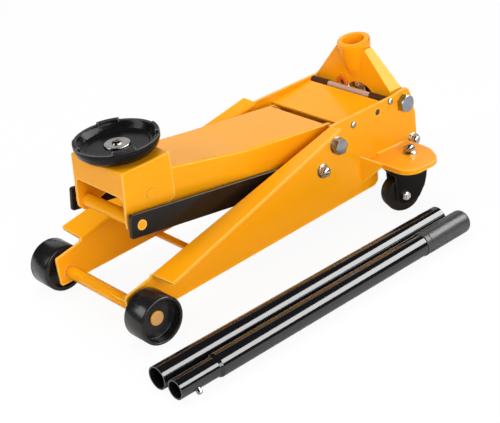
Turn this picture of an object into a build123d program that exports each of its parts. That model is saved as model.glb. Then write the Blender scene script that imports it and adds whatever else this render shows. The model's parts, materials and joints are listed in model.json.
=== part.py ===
from build123d import *
import math
import os

# Hydraulic trolley jack. Millimetres, +Z up, front (saddle) end towards -Y, width along X.
# While modelling, Y = 0 is the front axle and X = 0 the jack's mid-plane; every piece is
# moved to the shared origin (middle of the footprint, on the ground) when it is written.

# Driving dimensions
rake = 2.9                  # degrees the chassis rises towards the rear
front_wheel_r = 36.0
front_wheel_w = 42.8
track_out = 139.5           # mid-plane to the outer face of a front wheel
plate_out = 88.4            # mid-plane to the outer face of a side plate
plate_t = 4.0
plate_in = plate_out - plate_t
axle_r = 10.0

lift_pivot = (400.0, 120.8)     # chassis frame (y, z) of the lift arm's pivot
saddle_pivot = (73.2, 178.0)    # chassis frame (y, z) of the arm's front pin
link_drop = (-34.6, -29.0)      # from each arm pivot to the link pivot beside it
shaft_r = 8.0                   # lift pivot shaft
saddle_pin_r = 8.5
link_bolt_r = 6.0
link_shaft_r = 7.5
link_tube_r = 10.0              # the shaft between the bracket's cheeks
arm_front_x = 52.2              # half width of the arm at its front end
arm_rear_x = 65.0
link_in, link_out = 69.5, 75.0  # inner and outer face of a link
link_half = 18.0                # half the link's depth
link_nose = 18.0                # link shaft to the link's front end

saddle_tilt = 2.0               # degrees the saddle leans forward in this pose
bracket_x = 60.9
bracket_t = 4.0
bracket_top = 47.5              # top face above the saddle pin
saddle_r = 62.0
saddle_ahead = 2.0              # saddle axis before the arm's front pin
saddle_h = 24.0                 # plain rim above the saddle's seat
lug_h = 27.5                    # raised lugs above the seat
lug_turn = 32.0                 # degrees of rim that each lug takes
dish_floor = 12.2
stem_r = 15.0
boss_r, boss_h = 19.0, 12.0

wing_top = 92.8
stud = (124.0, 516.8)           # caster stud (x, y)
caster_angle = -20.8            # direction of the right caster's axle, from +X
caster_trail = 19.2
caster_r = 30.5
caster_w = 24.4

yoke_pivot = (551.2, 131.6)     # chassis frame (y, z)
yoke_lean = 8.5                 # degrees the handle socket leans forward at rest
socket_r = 17.6
ring_r = 26.5
socket_top = 94.5               # ring above the yoke pivot, along the socket
socket_floor = 50.0
yoke_t = 4.5
yoke_face = -21.0               # front of the yoke's sheet, before its pivot
yoke_hem = 5.0                  # lower edge of the front, above the pivot
fold_top, fold_low = (30.0, 82.0), (81.0, 23.5)     # (x, z) ends of the sheet's slanting folds

tie_rod = (522.0, 145.2)        # chassis frame (y, z)
stay_bolt = (565.0, 62.0)
cover_screw = (438.7, 139.0)
ram_z = 80.8                    # height of the ram's axis in the chassis frame
lever_r = 41.0                  # lift pivot to the lever's cross pin
lever_angle = 16.5              # degrees the lever hangs behind straight down
lever_pin_r = 7.0

tube_r = 17.0                   # handle tubes
tube_wall = 2.2
lower_len, upper_len = 561.0, 577.5
lower_start = (218.9, -75.2)    # front end of the lower section's axis (x, y)
upper_start = (260.2, -77.7)
lower_turn, upper_turn = 1.4, 1.6   # degrees the sections point towards the jack
neck_r, neck_len = 14.4, 66.0       # swaged end of the upper section
grip_r, grip_len = 18.2, 100.0
button_r = 4.0
button_at = 28.0

origin = (50.53, 247.87)          # middle of the footprint in the modelling frame (x, y)

axle_line = Axis((0, 0, front_wheel_r), (1, 0, 0))


def raked(point):
    """A chassis frame (y, z) point on the ground frame."""
    a = math.radians(rake)
    y, z = point[0], point[1] - front_wheel_r
    return (y * math.cos(a) - z * math.sin(a), y * math.sin(a) + z * math.cos(a) + front_wheel_r)


def rake_up(shape):
    return shape.rotate(axle_line, rake)


def rod(radius, x0, x1, point, hole=0.0):
    """A round bar along X between x0 and x1, through a (y, z) point."""
    shape = Pos(x0, point[0], point[1]) * Rot(0, 90, 0) * Cylinder(
        radius, x1 - x0, align=(Align.CENTER, Align.CENTER, Align.MIN))
    if hole:
        shape -= rod(hole, x0 - 1, x1 + 1, point)
    return shape


def bar_y(radius, y0, y1, x, z, hole=0.0):
    """A round bar along Y between y0 and y1."""
    shape = Pos(x, y0, z) * Rot(-90, 0, 0) * Cylinder(
        radius, y1 - y0, align=(Align.CENTER, Align.CENTER, Align.MIN))
    if hole:
        shape -= bar_y(hole, y0 - 1, y1 + 1, x, z)
    return shape


def post(radius, z0, z1, x, y, hole=0.0):
    """A round bar along Z between z0 and z1."""
    shape = Pos(x, y, z0) * Cylinder(radius, z1 - z0, align=(Align.CENTER, Align.CENTER, Align.MIN))
    if hole:
        shape -= post(hole, z0 - 1, z1 + 1, x, y)
    return shape


def hex_bar(across_flats, x0, x1, point):
    """A hexagon along X with a corner at the top, its outer end turned conical."""
    corner = across_flats / math.sqrt(3)
    body = extrude(Plane.YZ.offset(x0) * Pos(*point) * RegularPolygon(corner, 6, rotation=90), x1 - x0)
    turned = rod(corner * 0.985, x0, x1, point)
    return body & chamfer(turned.edges().filter_by(GeomType.CIRCLE).sort_by(Axis.X)[-1], corner * 0.12)


def mirrored(shape):
    return mirror(shape, about=Plane.YZ)


def both(shape):
    """The piece and its mirror image across the mid-plane."""
    return Compound(children=list((shape + mirrored(shape)).solids()))


def profile(points, radii=None):
    """A closed (y, z) outline as a face; radii maps a point's place in the list to its fillet."""
    face = make_face(Plane.YZ * Polyline(*points, close=True))
    if radii:
        for place, radius in radii.items():
            y, z = points[place]
            corner = face.vertices().sort_by(lambda v: (v.Y - y) ** 2 + (v.Z - z) ** 2)[0]
            face = fillet(corner, radius)
    return face


def slab(face, x0, x1):
    """A YZ face carried to X = x0 and thickened to x1."""
    return extrude(Pos(x0, 0, 0) * face, x1 - x0, dir=(1, 0, 0))


# ---- chassis -------------------------------------------------------------------------

fold_front, fold_rear = (30.0, 77.7), (392.0, 155.4)
flange_front_w, flange_rear_w = 48.0, 22.0
flange_lift = 3.8               # the strip rises this much over 60 mm towards its outer edge


def side_plate_web():
    """The upright sheet, in the chassis frame."""
    under_wing = [wing_top - plate_t - math.sin(math.radians(rake)) * y for y in (480.0, 551.0)]
    outline = [(-19.6, 19.4), (480, 19.4), (480, under_wing[0]), (551, under_wing[1]), (553, 51), (574, 51),
               (576, 104), (570, 137), (564, 154), (546, 154), (530, 151.8), (fold_rear[0] + 4, 155.2),
               fold_rear, fold_front, (26, 73.0), (-19, 65.0)]
    face = profile(outline, {0: 4, 1: 12, 5: 9, 8: 10, 9: 14, 15: 4})
    web = slab(face, plate_in, plate_out)
    link_pivot = (lift_pivot[0] + link_drop[0], lift_pivot[1] + link_drop[1])
    holes = [(lift_pivot, shaft_r + 0.05), (link_pivot, link_bolt_r + 0.05), (cover_screw, 3.0),
             (tie_rod, 3.0), ((493.4, 138.0), 5.2), (yoke_pivot, shaft_r + 0.05), (stay_bolt, 4.55),
             ((0.0, front_wheel_r), axle_r + 0.05)]
    for point, radius in holes:
        web -= rod(radius, plate_in - 1, plate_out + 1, point)
    return web


def side_plate_flange():
    """The strip folded outwards along the sloping top edge, wide in front and narrow behind."""
    run, rise = fold_rear[0] - fold_front[0], fold_rear[1] - fold_front[1]
    length = math.hypot(run, rise)
    tilt = math.atan2(rise, run)
    along = Plane(origin=(0, *fold_front), x_dir=(1, 0, 0), z_dir=(0, math.cos(tilt), math.sin(tilt)))
    edge = plate_out + 60
    angle = make_face(Polyline((plate_in, 10), (plate_in, 0), (edge, -flange_lift), (edge, plate_t - flange_lift),
                               (plate_out, plate_t), (plate_out, 10), close=True))
    angle = fillet(angle.vertices().sort_by(lambda v: v.X + v.Y)[0], 6)
    angle = fillet(angle.vertices().sort_by(lambda v: abs(v.X - plate_out) + abs(v.Y - plate_t))[0], 2.5)
    level = Plane(origin=(0, *fold_front), x_dir=(1, 0, 0), z_dir=(0, -math.sin(tilt), math.cos(tilt)))
    plan = make_face(Polyline((plate_in, 0), (plate_out + flange_front_w, 0),
                              (plate_out + flange_rear_w, length), (plate_in, length), close=True))
    plan = fillet(plan.vertices().sort_by(Axis.X)[-1], 4)
    return extrude(along * angle, length) & extrude(level * plan, 15, both=True)


def wing_outline():
    """Rounded outline of the shelf above the caster."""
    corners = [(plate_out, 460), (175, 460), (177, 527), (138, 549), (plate_out, 551)]
    shelf = make_face(Polyline(*corners, close=True))
    for corner, radius in zip(corners[1:4], (26, 30, 40)):
        nearest = shelf.vertices().sort_by(lambda v: (v.X - corner[0]) ** 2 + (v.Y - corner[1]) ** 2)[0]
        shelf = fillet(nearest, radius)
    return shelf


def caster_wing():
    """The level shelf pressed out of the plate's lower rear edge, its rim turned down."""
    outline = wing_outline()
    shelf = extrude(Pos(0, 0, wing_top - plate_t) * outline, plate_t)
    rim = outline - offset(outline, -3.0)
    shelf += extrude(Pos(0, 0, wing_top - 8) * rim, 5) & Pos(150, 500, wing_top) * Box(2 * (150 - plate_out), 200, 40)
    bend = 8.0
    middle, width = (480 + 549) / 2, 549 - 480
    filler = Pos(plate_out + bend / 2, middle, wing_top + bend / 2) * Box(bend, width, bend)
    shelf += filler - bar_y(bend, 400, 600, plate_out + bend, wing_top + bend)
    return shelf - post(5.05, wing_top - 10, wing_top + 1, *stud)


def wing_gusset():
    """Slanting facet pressed between the plate and the shelf's front edge."""
    upper, lower, outer = (plate_in + 1, 440, 105), (plate_in + 1, 440, 54), (122, 461.5, wing_top - 2)
    facet = make_face(Polyline(upper, lower, outer, close=True))
    return extrude(facet, 3.0, dir=(0, 1, 0)) & Pos(100, 450, 50) * Box(100, 100, 2 * (wing_top - 50) + 26)


def side_plate():
    """One pressed sheet: upright web, folded flange and caster wing."""
    flange = side_plate_flange()
    length = math.hypot(fold_rear[0] - fold_front[0], fold_rear[1] - fold_front[1])
    tilt = math.degrees(math.atan2(fold_rear[1] - fold_front[1], fold_rear[0] - fold_front[0]))
    corner = Pos(0, *fold_front) * Rot(tilt, 0, 0) * Pos(plate_in, length / 2, 0) * Box(12, length, 12)
    sheet = rake_up((side_plate_web() - corner) + flange) + caster_wing() + wing_gusset()
    turn = 11.5
    lower = Pos(plate_in, (482 + 549) / 2, wing_top - plate_t) * Box(2 * turn, 549 - 482, 2 * turn)
    return sheet - (lower - bar_y(turn, 400, 600, plate_in + turn, wing_top - plate_t + turn))


def front_axle():
    """A plain bar with turned-down ends riveted over inside the wheels."""
    hub_face = track_out - 15.0
    shape = rod(axle_r, -94.0, 94.0, (0, front_wheel_r))
    for x0, x1 in ((94.0, hub_face + 0.3), (-hub_face - 0.3, -94.0)):
        shape += rod(8.0, x0, x1, (0, front_wheel_r))
    for x0 in (hub_face + 0.3, -hub_face - 3.3):
        head = rod(10.8, x0, x0 + 3.0, (0, front_wheel_r))
        shape += chamfer(head.edges().sort_by(Axis.X)[-1 if x0 > 0 else 0], 1.0)
    return shape


def front_wheel():
    """Broad roller with a deep outer recess, a shallow inner one and rounded shoulders."""
    half = front_wheel_w / 2
    web_out = half - 15.0
    tread = [(8.15, -half + 1.5), (15, -half + 1.5), (15, -half + 8), (29.5, -half + 8), (29.5, -half),
             (front_wheel_r - 2.5, -half), (front_wheel_r, -half + 2.5), (front_wheel_r, half - 2.5),
             (front_wheel_r - 1.5, half), (front_wheel_r - 4.5, half), (front_wheel_r - 5.8, web_out),
             (8.15, web_out)]
    section = make_face(Plane.XZ * Polyline(*tread, close=True))
    wheel = revolve(section, Axis.Z)
    return Pos(track_out - half, 0, front_wheel_r) * Rot(0, 90, 0) * wheel


def front_brace():
    """Thin flat strap welded between the plates at their lower edge."""
    return rake_up(Pos(0, 164, 21.6) * Box(2 * plate_in, 12, 4))


def top_cover():
    """Flat lid between the plates with two tabs bent down each side."""
    shape = slab(profile([(425.6, 139.4), (425.6, 142.4), (512.0, 147.0), (512.0, 144.0)]), -plate_in, plate_in)
    for start, end, top in ((429, 449, 141), (482, 505, 144)):
        tab = slab(profile([(start, top - 14), (start, top), (end, top), (end, top - 14)], {0: 4, 3: 4}),
                   plate_in - 3, plate_in)
        shape += tab + mirrored(tab)
    hole = rod(3.0, plate_out - 10, plate_out + 1, cover_screw)
    return rake_up(shape - hole - mirrored(hole))


def pan_screw(point):
    """Pan head on the right plate, with its shank."""
    head = rod(5.5, plate_out, plate_out + 3.4, point)
    head = chamfer(head.edges().sort_by(Axis.X)[-1], 1.8)
    return head + rod(2.95, plate_out - 8, plate_out, point)


def frame_screws():
    screws = pan_screw(cover_screw) + pan_screw(tie_rod)
    return both(rake_up(screws))


def tie_rod_parts():
    """Bar between the plates with a dark spacer tube at each end and a bright sleeve between."""
    bar = rod(4.5, -plate_in, plate_in, tie_rod)
    for x0 in (plate_in - 12, -plate_in - 1):
        bar -= rod(2.95, x0, x0 + 13, tie_rod)
    sleeve = rod(5.0, -47, 47, tie_rod, hole=4.5)
    spacers = rod(6.0, -plate_in, -47, tie_rod, hole=4.5) + rod(6.0, 47, plate_in, tie_rod, hole=4.5)
    return rake_up(bar), rake_up(sleeve), rake_up(spacers)


def lift_shaft():
    """Pivot of the lift arm, threaded stubs outside the plates."""
    return rake_up(rod(shaft_r, -plate_out - 11, plate_out + 11, lift_pivot))


def lift_nuts():
    nut = rod(13.5, plate_out, plate_out + 1.6, lift_pivot, hole=shaft_r)
    nut += hex_bar(24, plate_out + 1.6, plate_out + 12.5, lift_pivot) - rod(
        shaft_r, plate_out, plate_out + 11, lift_pivot)
    return both(rake_up(nut))


def link_pivot_point():
    return (lift_pivot[0] + link_drop[0], lift_pivot[1] + link_drop[1])


def link_bolt():
    """Shoulder bolt: a thin head behind the link, the shank out through the plate."""
    point = link_pivot_point()
    head = rod(10, link_in - 2.3, link_in - 0.3, point)
    return head + rod(link_bolt_r, link_in - 0.3, plate_out + 8, point)


def link_spacer():
    return rod(9.5, link_out + 0.3, plate_in, link_pivot_point(), hole=link_bolt_r)


def dome_nut(point, thread, across):
    """Domed hexagon nut on a washer, on the right plate."""
    face = plate_out + 1.6
    washer = rod(across * 0.64, plate_out, face, point)
    body = hex_bar(across, face, face + 6.4, point)
    dome = rod(across * 0.41, face + 6.4, face + 11.4, point)
    dome = chamfer(dome.edges().sort_by(Axis.X)[-1], across * 0.2)
    return washer + body + dome - rod(thread, plate_out - 1, face + 6.4, point)


def dome_nuts():
    """The nuts of the link bolts and of the rear stay."""
    return both(rake_up(dome_nut(link_pivot_point(), link_bolt_r, 18) + dome_nut(stay_bolt, 4.5, 17)))


def stay_bar():
    """Rear stay across the plates, threaded for a nut at each end."""
    return rake_up(rod(4.5, -plate_out - 8, plate_out + 8, stay_bolt))


def yoke_bolt():
    """Hexagon shoulder bolt that carries one ear of the yoke."""
    head = hex_bar(26, plate_out, plate_out + 10.5, yoke_pivot)
    return head + rod(shaft_r, 74.0, plate_out, yoke_pivot)


# ---- power unit ----------------------------------------------------------------------

pump_y = 564.0                  # pump axis in the chassis frame
block_low = 86.0                # top of the block round the pump
barrel_top = 96.0
cap_top = 124.8                 # top of the plunger's cap at rest
cap_t = 4.0
plunger_r = 7.0
release = (0.0, 545.2)          # release valve axis in the chassis frame (x, y)


def power_block():
    """Cast block of the power unit: valve body, rear lug on the stay bolt, stepped top."""
    side = profile([(500, 46), (500, 104), (548, 104), (551, block_low), (575, block_low), (575, 52), (566, 46)],
                   {1: 6, 2: 5, 3: 2, 4: 3, 5: 8, 6: 4})
    block = slab(side, -34, 34)
    for face_x in (34, -34):
        block = chamfer([e for e in block.edges() if abs(e.center().X - face_x) < 0.1], 2.0)
    block += post(6.8, block_low, 112, *release)
    block -= post(5.05, 90, 120, *release)
    block -= post(10.0, 80, 100, 0, pump_y) + post(plunger_r + 0.05, 70.5, 81, 0, pump_y)
    block -= post(5.0, 96, 110, -18, 515) + post(4.0, 96, 110, -18, 536)
    block -= bar_y(13.1, 499, 512, 0, ram_z)
    return rake_up(block - rod(4.55, -40, 40, stay_bolt))


def reservoir_tube():
    return rake_up(bar_y(31, 450, 500, 0, ram_z, hole=28.5) + bar_y(31, 496, 500, 0, ram_z, hole=22.1))


def ram_cylinder():
    return rake_up(bar_y(22, 450, 500, 0, ram_z, hole=13.1))


def cylinder_gland():
    """Ring nut that closes the reservoir's front end round the ram."""
    nut = bar_y(33, 441, 450, 0, ram_z)
    nut = chamfer(nut.edges().sort_by(Axis.Y)[0], 1.5)
    for turn in range(6):
        nut -= Pos(0, 441, ram_z) * Rot(0, 60 * turn, 0) * Pos(33, 0, 0) * Box(5, 9, 8)
    return rake_up(nut - bar_y(13.05, 430, 460, 0, ram_z))


def cylinder_plate():
    """Cross plate between the side plates that seats the reservoir's front end."""
    plate = Pos(0, 456, 78) * Box(2 * plate_in, 4, 88)
    return rake_up(plate - bar_y(31.0, 440, 470, 0, ram_z))


def plug(radius, across, x, y):
    """Hexagon plug screwed into the top of the block."""
    head = extrude(Pos(x, y, 104) * RegularPolygon(across / math.sqrt(3), 6), 5)
    return head + post(radius, 96, 104, x, y)


def pump_barrel():
    """Screwed-in sleeve with a collar that seats the spring."""
    barrel = post(10.0, 80, barrel_top, 0, pump_y)
    barrel += post(11.5, barrel_top - 4, barrel_top, 0, pump_y)
    return rake_up(barrel - post(plunger_r + 0.05, 70, 140, 0, pump_y))


def pump_plunger():
    """Hardened plunger with the flat cap that the yoke's roller bears on."""
    cap = post(11, cap_top - cap_t, cap_top, 0, pump_y)
    cap = chamfer(cap.edges().sort_by(Axis.Z)[-1], 1.0)
    return rake_up(cap + post(plunger_r, 84, cap_top - cap_t, 0, pump_y))


def pump_spring():
    """Open coils between the barrel's collar and the plunger's cap, as short straight stretches."""
    turns, steps, radius = 4, 10, 9.3
    height = cap_top - cap_t - barrel_top - 2.8
    points = [(radius * math.cos(math.tau * n / steps), radius * math.sin(math.tau * n / steps),
               height * n / (turns * steps)) for n in range(turns * steps + 1)]
    path = Polyline(*points)
    wire = Plane(origin=path @ 0, z_dir=path % 0) * RegularPolygon(1.2, 6)
    return rake_up(Pos(0, pump_y, barrel_top + 1.4) * sweep(wire, path, transition=Transition.RIGHT))


# ---- ram -----------------------------------------------------------------------------

def lever_pin_point():
    a = math.radians(lever_angle)
    return (lift_pivot[0] + lever_r * math.sin(a), lift_pivot[1] - lever_r * math.cos(a))


def ram_rod():
    return rake_up(bar_y(13, lever_pin_point()[0] + 9, 497, 0, ram_z))


def ram_head():
    """Crosshead on the ram: a slot, open below, that carries the lever's cross pin."""
    y, z = lever_pin_point()
    head = profile([(y - 13, ram_z - 12), (y - 13, ram_z + 18), (y + 12, ram_z + 18), (y + 12, ram_z - 16)],
                   {1: 8, 2: 3})
    head = slab(head, -18, 18)
    front, rear = y - 0.4 - lever_pin_r - 1.0, y - 0.4 + lever_pin_r + 1.0
    slot = profile([(front, ram_z - 30), (front, ram_z + 15), (rear, ram_z + 15), (rear, ram_z - 30)],
                   {1: 6, 2: 6})
    return rake_up(head - slab(slot, -19, 19) - bar_y(13, y + 9, y + 40, 0, ram_z))


# ---- lift arm ------------------------------------------------------------------------

arm_top = [(104.0, 199.8), (248.0, 171.0), (388.0, 151.0)]     # ridge line (y, z)
arm_t = 4.0
arm_sheet_end = 402.0           # the top sheet stops short of the lid here


def arm_side(x_front, x_rear):
    """Side sheet of the arm, from the front lobe to the pivot, as a slab x_front..x_rear."""
    fy, fz = saddle_pivot
    py, pz = lift_pivot
    outline = [(fy - 16, fz - 6), (fy - 16, fz + 8), (fy, fz + 18), arm_top[0], arm_top[1], arm_top[2],
               (py + 12, pz + 28), (py + 27, pz + 10), (py + 27, pz - 14), (py + 6, pz - 30),
               (py - 40, pz - 28), (248, 112), (150, 135), (112, 143), (fy + 6, fz - 17), (fy - 6, fz - 17)]
    radii = {0: 8, 1: 8, 2: 10, 6: 12, 7: 14, 8: 14, 9: 16, 10: 30, 14: 6, 15: 8}
    return slab(profile(outline, radii), x_front, x_rear)


def arm_block(y0, y1, x0, x1, z0, z1):
    """Solid stretch of the arm with rounded upper edges, from y0 to y1."""
    more = 25.0
    reach = more / (y1 - y0)
    xa, xb = x0 - (x1 - x0) * reach, x1 + (x1 - x0) * reach
    za, zb = z0 - (z1 - z0) * reach, z1 + (z1 - z0) * reach
    ya, yb = y0 - more, y1 + more
    plan = extrude(make_face(Polyline((xa, ya), (xb, yb), (-xb, yb), (-xa, ya), close=True)), 260)
    block = plan & slab(profile([(ya, 60), (ya, za), (yb, zb), (yb, 60)]), -80, 80)
    crown = [e for e in block.edges() if e.center().Z > min(za, zb) and abs(e.center().X) > 20]
    block = fillet([e for e in crown if e.length > 100], 3.0)
    return block & Pos(0, (y0 + y1) / 2, 130) * Box(200, y1 - y0, 260)


def arm_channel():
    """Folded channel, open below: narrow between the bracket's cheeks, wider at the pivot."""
    (y0, z0), (y1, z1), (y2, z2) = arm_top
    end, end_z = 440.0, z2 + (z2 - z1) * (440.0 - y2) / (y2 - y1)
    body = Pos(0, 70, 130) * Box(2 * arm_front_x, 2 * (y0 - 70), 260)
    body += arm_block(y0, y1, arm_front_x, arm_rear_x, z0, z1)
    body += arm_block(y1, end, arm_rear_x, arm_rear_x, z1, end_z)
    body &= arm_side(-70, 70)
    plan = [(arm_front_x - arm_t, 20), (arm_front_x - arm_t, y0), (arm_rear_x - arm_t, y1),
            (arm_rear_x - arm_t, 460)]
    plan += [(-x, y) for x, y in reversed(plan)]
    hollow = extrude(make_face(Polyline(*plan, close=True)), 260)
    sheet_z = z2 + (z2 - z1) * (arm_sheet_end - y2) / (y2 - y1) - arm_t
    under = [(20, 60), (20, 230), (100, 230), (100, z0 - arm_t), (y1, z1 - arm_t), (arm_sheet_end, sheet_z),
             (arm_sheet_end + 1, 180), (460, 180), (460, 60)]
    shell = body - (hollow & slab(profile(under), -70, 70)) + arm_gusset()
    return rake_up(shell - rod(saddle_pin_r + 0.05, -80, 80, saddle_pivot) - rod(14.0, -80, 80, lift_pivot))


def pivot_tube():
    return rake_up(rod(14, -82, 82, lift_pivot, hole=shaft_r + 0.06))


def arm_lever():
    """Two cheeks on the pivot tube that carry the cross pin the ram pushes."""
    y, z = lever_pin_point()
    py, pz = lift_pivot
    cheek = profile([(py - 20, pz + 6), (py - 12, pz + 20), (py + 12, pz + 20), (py + 24, pz),
                     (y + 13, z - 4), (y + 6, z - 13), (y - 6, z - 13), (y - 14, z - 2)],
                    {0: 8, 1: 8, 2: 8, 3: 14, 4: 8, 5: 6, 6: 6, 7: 8})
    cheeks = slab(cheek, 22, 30) + slab(cheek, -30, -22)
    cheeks -= rod(14.0, -40, 40, lift_pivot)
    return rake_up(cheeks + rod(lever_pin_r, -34, 34, (y, z)))


def arm_gusset():
    """Cross sheet welded inside the channel between its cheeks."""
    y, z = 300.0, 130.0
    sheet = profile([(y, z - 12), (y - 3, z + 32), (y + 1, z + 32), (y + 4, z - 12)])
    inner = arm_rear_x - arm_t
    return slab(sheet, -inner - 1, inner + 1)


# ---- links ---------------------------------------------------------------------------

def link_bar():
    """Flat bar from the link bolt to the bracket's link shaft."""
    rear = link_pivot_point()
    front = (saddle_pivot[0] + link_drop[0], saddle_pivot[1] + link_drop[1])
    span = math.hypot(rear[0] - front[0], rear[1] - front[1])
    slope = math.degrees(math.atan2(front[1] - rear[1], rear[0] - front[0]))
    face = make_face(Plane.YZ * Polyline((-link_nose, -link_half), (-link_nose, link_half),
                                         (span + 16, link_half), (span + 16, -link_half), close=True))
    for corner in face.vertices():
        face = fillet(face.vertices().sort_by(lambda v: (v - corner.center()).center().length)[0],
                      4 if corner.Y < 0 else 12)
    bar = slab(face, link_in, link_out)
    bar -= rod(link_shaft_r + 0.06, link_in - 1, link_out + 1, (0, 0))
    bar -= rod(link_bolt_r + 0.06, link_in - 1, link_out + 1, (span, 0))
    bar = chamfer(bar.edges().filter_by(Axis.Y), 0.6)
    return rake_up(Pos(0, *front) * Rot(-slope, 0, 0) * bar)


# ---- saddle bracket and saddle, drawn level about the saddle pin ---------------------

def on_pin(shape):
    """Level bracket frame (origin on the saddle pin) to the modelling frame."""
    return Pos(0, *raked(saddle_pivot)) * Rot(saddle_tilt, 0, 0) * shape


def link_shaft_point():
    """Link shaft seen from the saddle pin, in the bracket's level frame."""
    a = math.radians(rake - saddle_tilt)
    y, z = link_drop
    return (y * math.cos(a) - z * math.sin(a), y * math.sin(a) + z * math.cos(a))


def saddle_bracket():
    """Folded box open below and behind: top, two cheeks with lobes for the shaft, front lip."""
    dy, dz = link_shaft_point()
    cheek = profile([(-42.3, bracket_top), (40.2, bracket_top), (38.5, -18), (30, -24), (dy + 16, dz - 9),
                     (dy + 6, dz - 16), (dy - 6, dz - 16), (dy - 15, dz - 6), (dy - 14.5, dz + 6)],
                    {2: 5, 3: 8, 4: 8, 5: 8, 6: 8, 7: 6})
    body = slab(cheek, -bracket_x, bracket_x)
    inner_x = bracket_x - bracket_t
    room = slab(profile([(-38.3, -70), (-38.3, bracket_top - bracket_t), (60, bracket_top - bracket_t),
                         (60, -70)]), -inner_x, inner_x)
    mouth = slab(profile([(-70, -70), (-70, bracket_top - 38.5), (-30, bracket_top - 38.5), (-30, -70)]),
                 -inner_x, inner_x)
    mouth = fillet([e for e in mouth.edges() if abs(abs(e.center().X) - inner_x) < 0.1
                    and e.length < 45 and e.center().Z > 0], 8)
    body = body - room - mouth
    folds = [e for e in body.edges() if abs(abs(e.center().X) - bracket_x) < 0.1
             and abs(e.center().Z - bracket_top) < 0.1 and e.length > 50]
    folds += [e for e in body.edges() if abs(e.center().X) < 1 and e.length > 100
              and abs(e.center().Z - bracket_top) < 0.1 and e.center().Y < 0]
    body = fillet(folds, 3)
    body -= rod(saddle_pin_r, -70, 70, (0, 0)) + rod(link_shaft_r, -70, 70, (dy, dz))
    body -= post(stem_r + 0.06, 20, 60, 0, -saddle_ahead)
    return on_pin(body)


def saddle_boss():
    """Tube welded under the bracket's top that guides the saddle's stem."""
    under = bracket_top - bracket_t
    return on_pin(post(boss_r, under - boss_h, under, 0, -saddle_ahead, hole=stem_r + 0.06))


def saddle_pin():
    """Pin through the bracket's cheeks and the arm's front lobes."""
    return on_pin(rod(saddle_pin_r, -bracket_x - 0.5, bracket_x + 0.5, (0, 0)))


def link_shaft():
    """Cross shaft: thick between the bracket's cheeks, turned down through cheeks and links."""
    point = link_shaft_point()
    inner = bracket_x - bracket_t
    return on_pin(rod(link_shaft_r, -link_out - 1.2, link_out + 1.2, point) + rod(link_tube_r, -inner, inner, point))


def shaft_spacers():
    spacer = rod(11, bracket_x, link_in - 0.3, link_shaft_point(), hole=link_shaft_r)
    return both(on_pin(spacer))


def saddle():
    """Cast dish: ledge round a flat floor, steep wall, four raised lugs on the rim and a stem."""
    z0 = bracket_top + 0.3
    section = [(0, z0), (43, z0), (52, z0 + 3), (59, z0 + 10), (saddle_r, z0 + 18), (saddle_r, z0 + saddle_h),
               (saddle_r - 5.5, z0 + saddle_h), (saddle_r - 11.5, z0 + dish_floor + 1.6),
               (47, z0 + dish_floor + 1.6), (45, z0 + dish_floor), (0, z0 + dish_floor)]
    dish = revolve(make_face(Plane.XZ * Polyline(*section, close=True)), Axis.Z)
    lug = [(saddle_r - 7, z0 + 20), (saddle_r - 7, z0 + lug_h - 1.2), (saddle_r - 5.8, z0 + lug_h),
           (saddle_r - 1.6, z0 + lug_h), (saddle_r - 0.4, z0 + lug_h - 1.2), (saddle_r - 0.4, z0 + 20)]
    lug = make_face(Plane.XZ * Polyline(*lug, close=True))
    for turn in range(4):
        dish += Rot(0, 0, 90 * turn + 65 - lug_turn / 2) * revolve(lug, Axis.Z, lug_turn)
    dish += post(stem_r, bracket_top - bracket_t - boss_h + 1, z0 + 1, 0, 0)
    return on_pin(Pos(0, -saddle_ahead, 0) * (dish - post(4.2, 0, z0 + 20, 0, 0)))


def saddle_washer():
    z0 = bracket_top + 0.3 + dish_floor
    disc = chamfer(post(19.2, z0, z0 + 2.6, 0, -saddle_ahead).edges().sort_by(Axis.Z)[-1], 0.8)
    return on_pin(disc - post(4.2, 0, 90, 0, -saddle_ahead))


def saddle_screw():
    """Screw that holds the saddle's stem in its boss."""
    z0 = bracket_top + 0.3 + dish_floor + 2.6
    head = post(7, z0, z0 + 3.4, 0, -saddle_ahead)
    head = chamfer(head.edges().sort_by(Axis.Z)[-1], 1.6)
    return on_pin(head + post(4.2, z0 - 24, z0, 0, -saddle_ahead))


# ---- yoke, drawn about its pivot: the sheet upright, the socket leaning ---------------

def on_pivot(shape):
    return Pos(0, *raked(yoke_pivot)) * shape


def on_yoke(shape):
    return on_pivot(Rot(yoke_lean, 0, 0) * shape)


roller_at = 15.0            # roller behind the yoke pivot
lug_x = 30.0                # mid-plane to a roller lug
eye = (-24.0, 17.5)         # centre of the eye (x, z)


def socket_body():
    """Outer form of the handle socket: round ring, tapering tube and a closed nose."""
    outline = [(0, 30), (14, 30), (20.5, socket_floor), (ring_r, 89), (ring_r, socket_top), (0, socket_top)]
    return revolve(make_face(Plane.XZ * Polyline(*outline, close=True)), Axis.Z)


def handle_socket():
    """Tube that takes the handle, with a floor and a passage for the release rod."""
    body = socket_body()
    body = chamfer(body.edges().sort_by(Axis.Z)[-1], 1.2)
    return on_yoke(body - post(socket_r, socket_floor, socket_top + 1, 0, 0) - post(8, 29, socket_top, 0, 0))


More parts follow.
